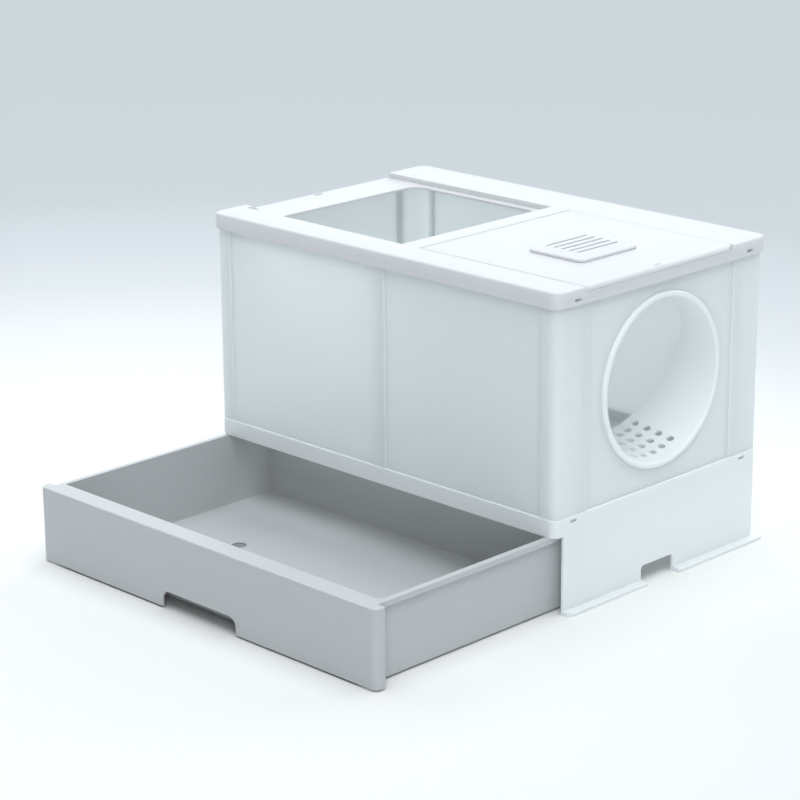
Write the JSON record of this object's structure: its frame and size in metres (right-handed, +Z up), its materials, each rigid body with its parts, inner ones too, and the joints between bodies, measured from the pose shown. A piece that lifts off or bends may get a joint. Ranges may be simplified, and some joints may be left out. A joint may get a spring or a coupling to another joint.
{
  "type": "drawer litter box",
  "caption": "Enclosed cat litter box with a pull-out tray drawer, round end entrance with a perforated tunnel, open top hatch and a hinged lid with a vent.",
  "frame": {"origin": "on the floor, in the middle of the whole footprint with the drawer pulled out", "axes": "+X towards the end wall with the round entrance, +Y away from the drawer, +Z up"},
  "size_m": [0.5138, 0.5756, 0.3373],
  "materials": {
    "white_wall": "fine satin moulded polypropylene",
    "white_frame": "fine satin moulded polypropylene",
    "white_post": "fine satin moulded polypropylene",
    "white_lid": "fine satin moulded polypropylene",
    "white_vent": "fine satin moulded polypropylene",
    "white_tray": "fine satin moulded polypropylene",
    "grey_drawer": "fine satin moulded polypropylene",
    "carbon": "activated carbon felt"
  },
  "bodies": {
    "housing": {"base_frame": "white_frame", "corner_post_front_left": "white_post", "corner_post_front_right": "white_post", "corner_post_rear_left": "white_post", "corner_post_rear_right": "white_post", "front_panel_left": "white_wall", "front_panel_right": "white_wall", "rear_panel_left": "white_wall", "rear_panel_right": "white_wall", "left_panel": "white_wall", "right_panel": "white_wall", "entrance_tunnel": "white_frame", "top_frame": "white_frame"},
    "lid": {"lid": "white_lid", "filter_tray": "white_tray", "carbon_pad": "carbon"},
    "vent_cover": {"vent_cover": "white_vent"},
    "drawer": {"drawer": "grey_drawer"}
  },
  "joints": [
    {"name": "drawer_slide", "type": "slide", "parent": "housing", "child": "drawer", "axis": [0, 1, 0], "range_m": [-0.06, 0.2503]},
    {"name": "lid_hinge", "type": "hinge", "parent": "housing", "child": "lid", "pos_m": [0.0286, 0.11485, 0.3312], "axis": [0, -1, 0], "range_deg": [0, 100]},
    {"name": "vent_cover_lift", "type": "slide", "parent": "lid", "child": "vent_cover", "axis": [0, 0, 1], "range_m": [0, 0.025]}
  ]
}
